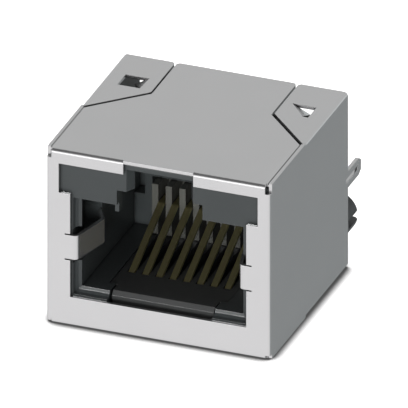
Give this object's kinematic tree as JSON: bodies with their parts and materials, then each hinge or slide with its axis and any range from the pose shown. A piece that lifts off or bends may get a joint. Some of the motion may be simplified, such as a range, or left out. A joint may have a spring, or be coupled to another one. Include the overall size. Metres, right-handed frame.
{
  "type": "rj45 board jack",
  "caption": "Shielded upright modular jack: folded metal shield with spring fingers and solder tabs, black housing with split pegs, gold contacts between comb teeth.",
  "frame": {"origin": "centre of the underside of the whole part's box, on the shield's bottom panel", "axes": "+X to the right seen from the plug side, +Y from the plug opening to the board, +Z from the bottom panel to the latch side"},
  "size_m": [0.0166, 0.0184, 0.0136],
  "materials": {
    "shield_metal": "satin plated sheet",
    "black_plastic": "satin",
    "carrier_plastic": "satin",
    "comb_plastic": "satin",
    "contact_metal": "gold-plated strip"
  },
  "bodies": {
    "root": {"shield": "shield_metal", "housing": "black_plastic", "contact_carrier": "carrier_plastic", "contact_comb": "comb_plastic", "contact_1": "contact_metal", "contact_2": "contact_metal", "contact_3": "contact_metal", "contact_4": "contact_metal", "contact_5": "contact_metal", "contact_6": "contact_metal", "contact_7": "contact_metal", "contact_8": "contact_metal"}
  },
  "joints": []
}
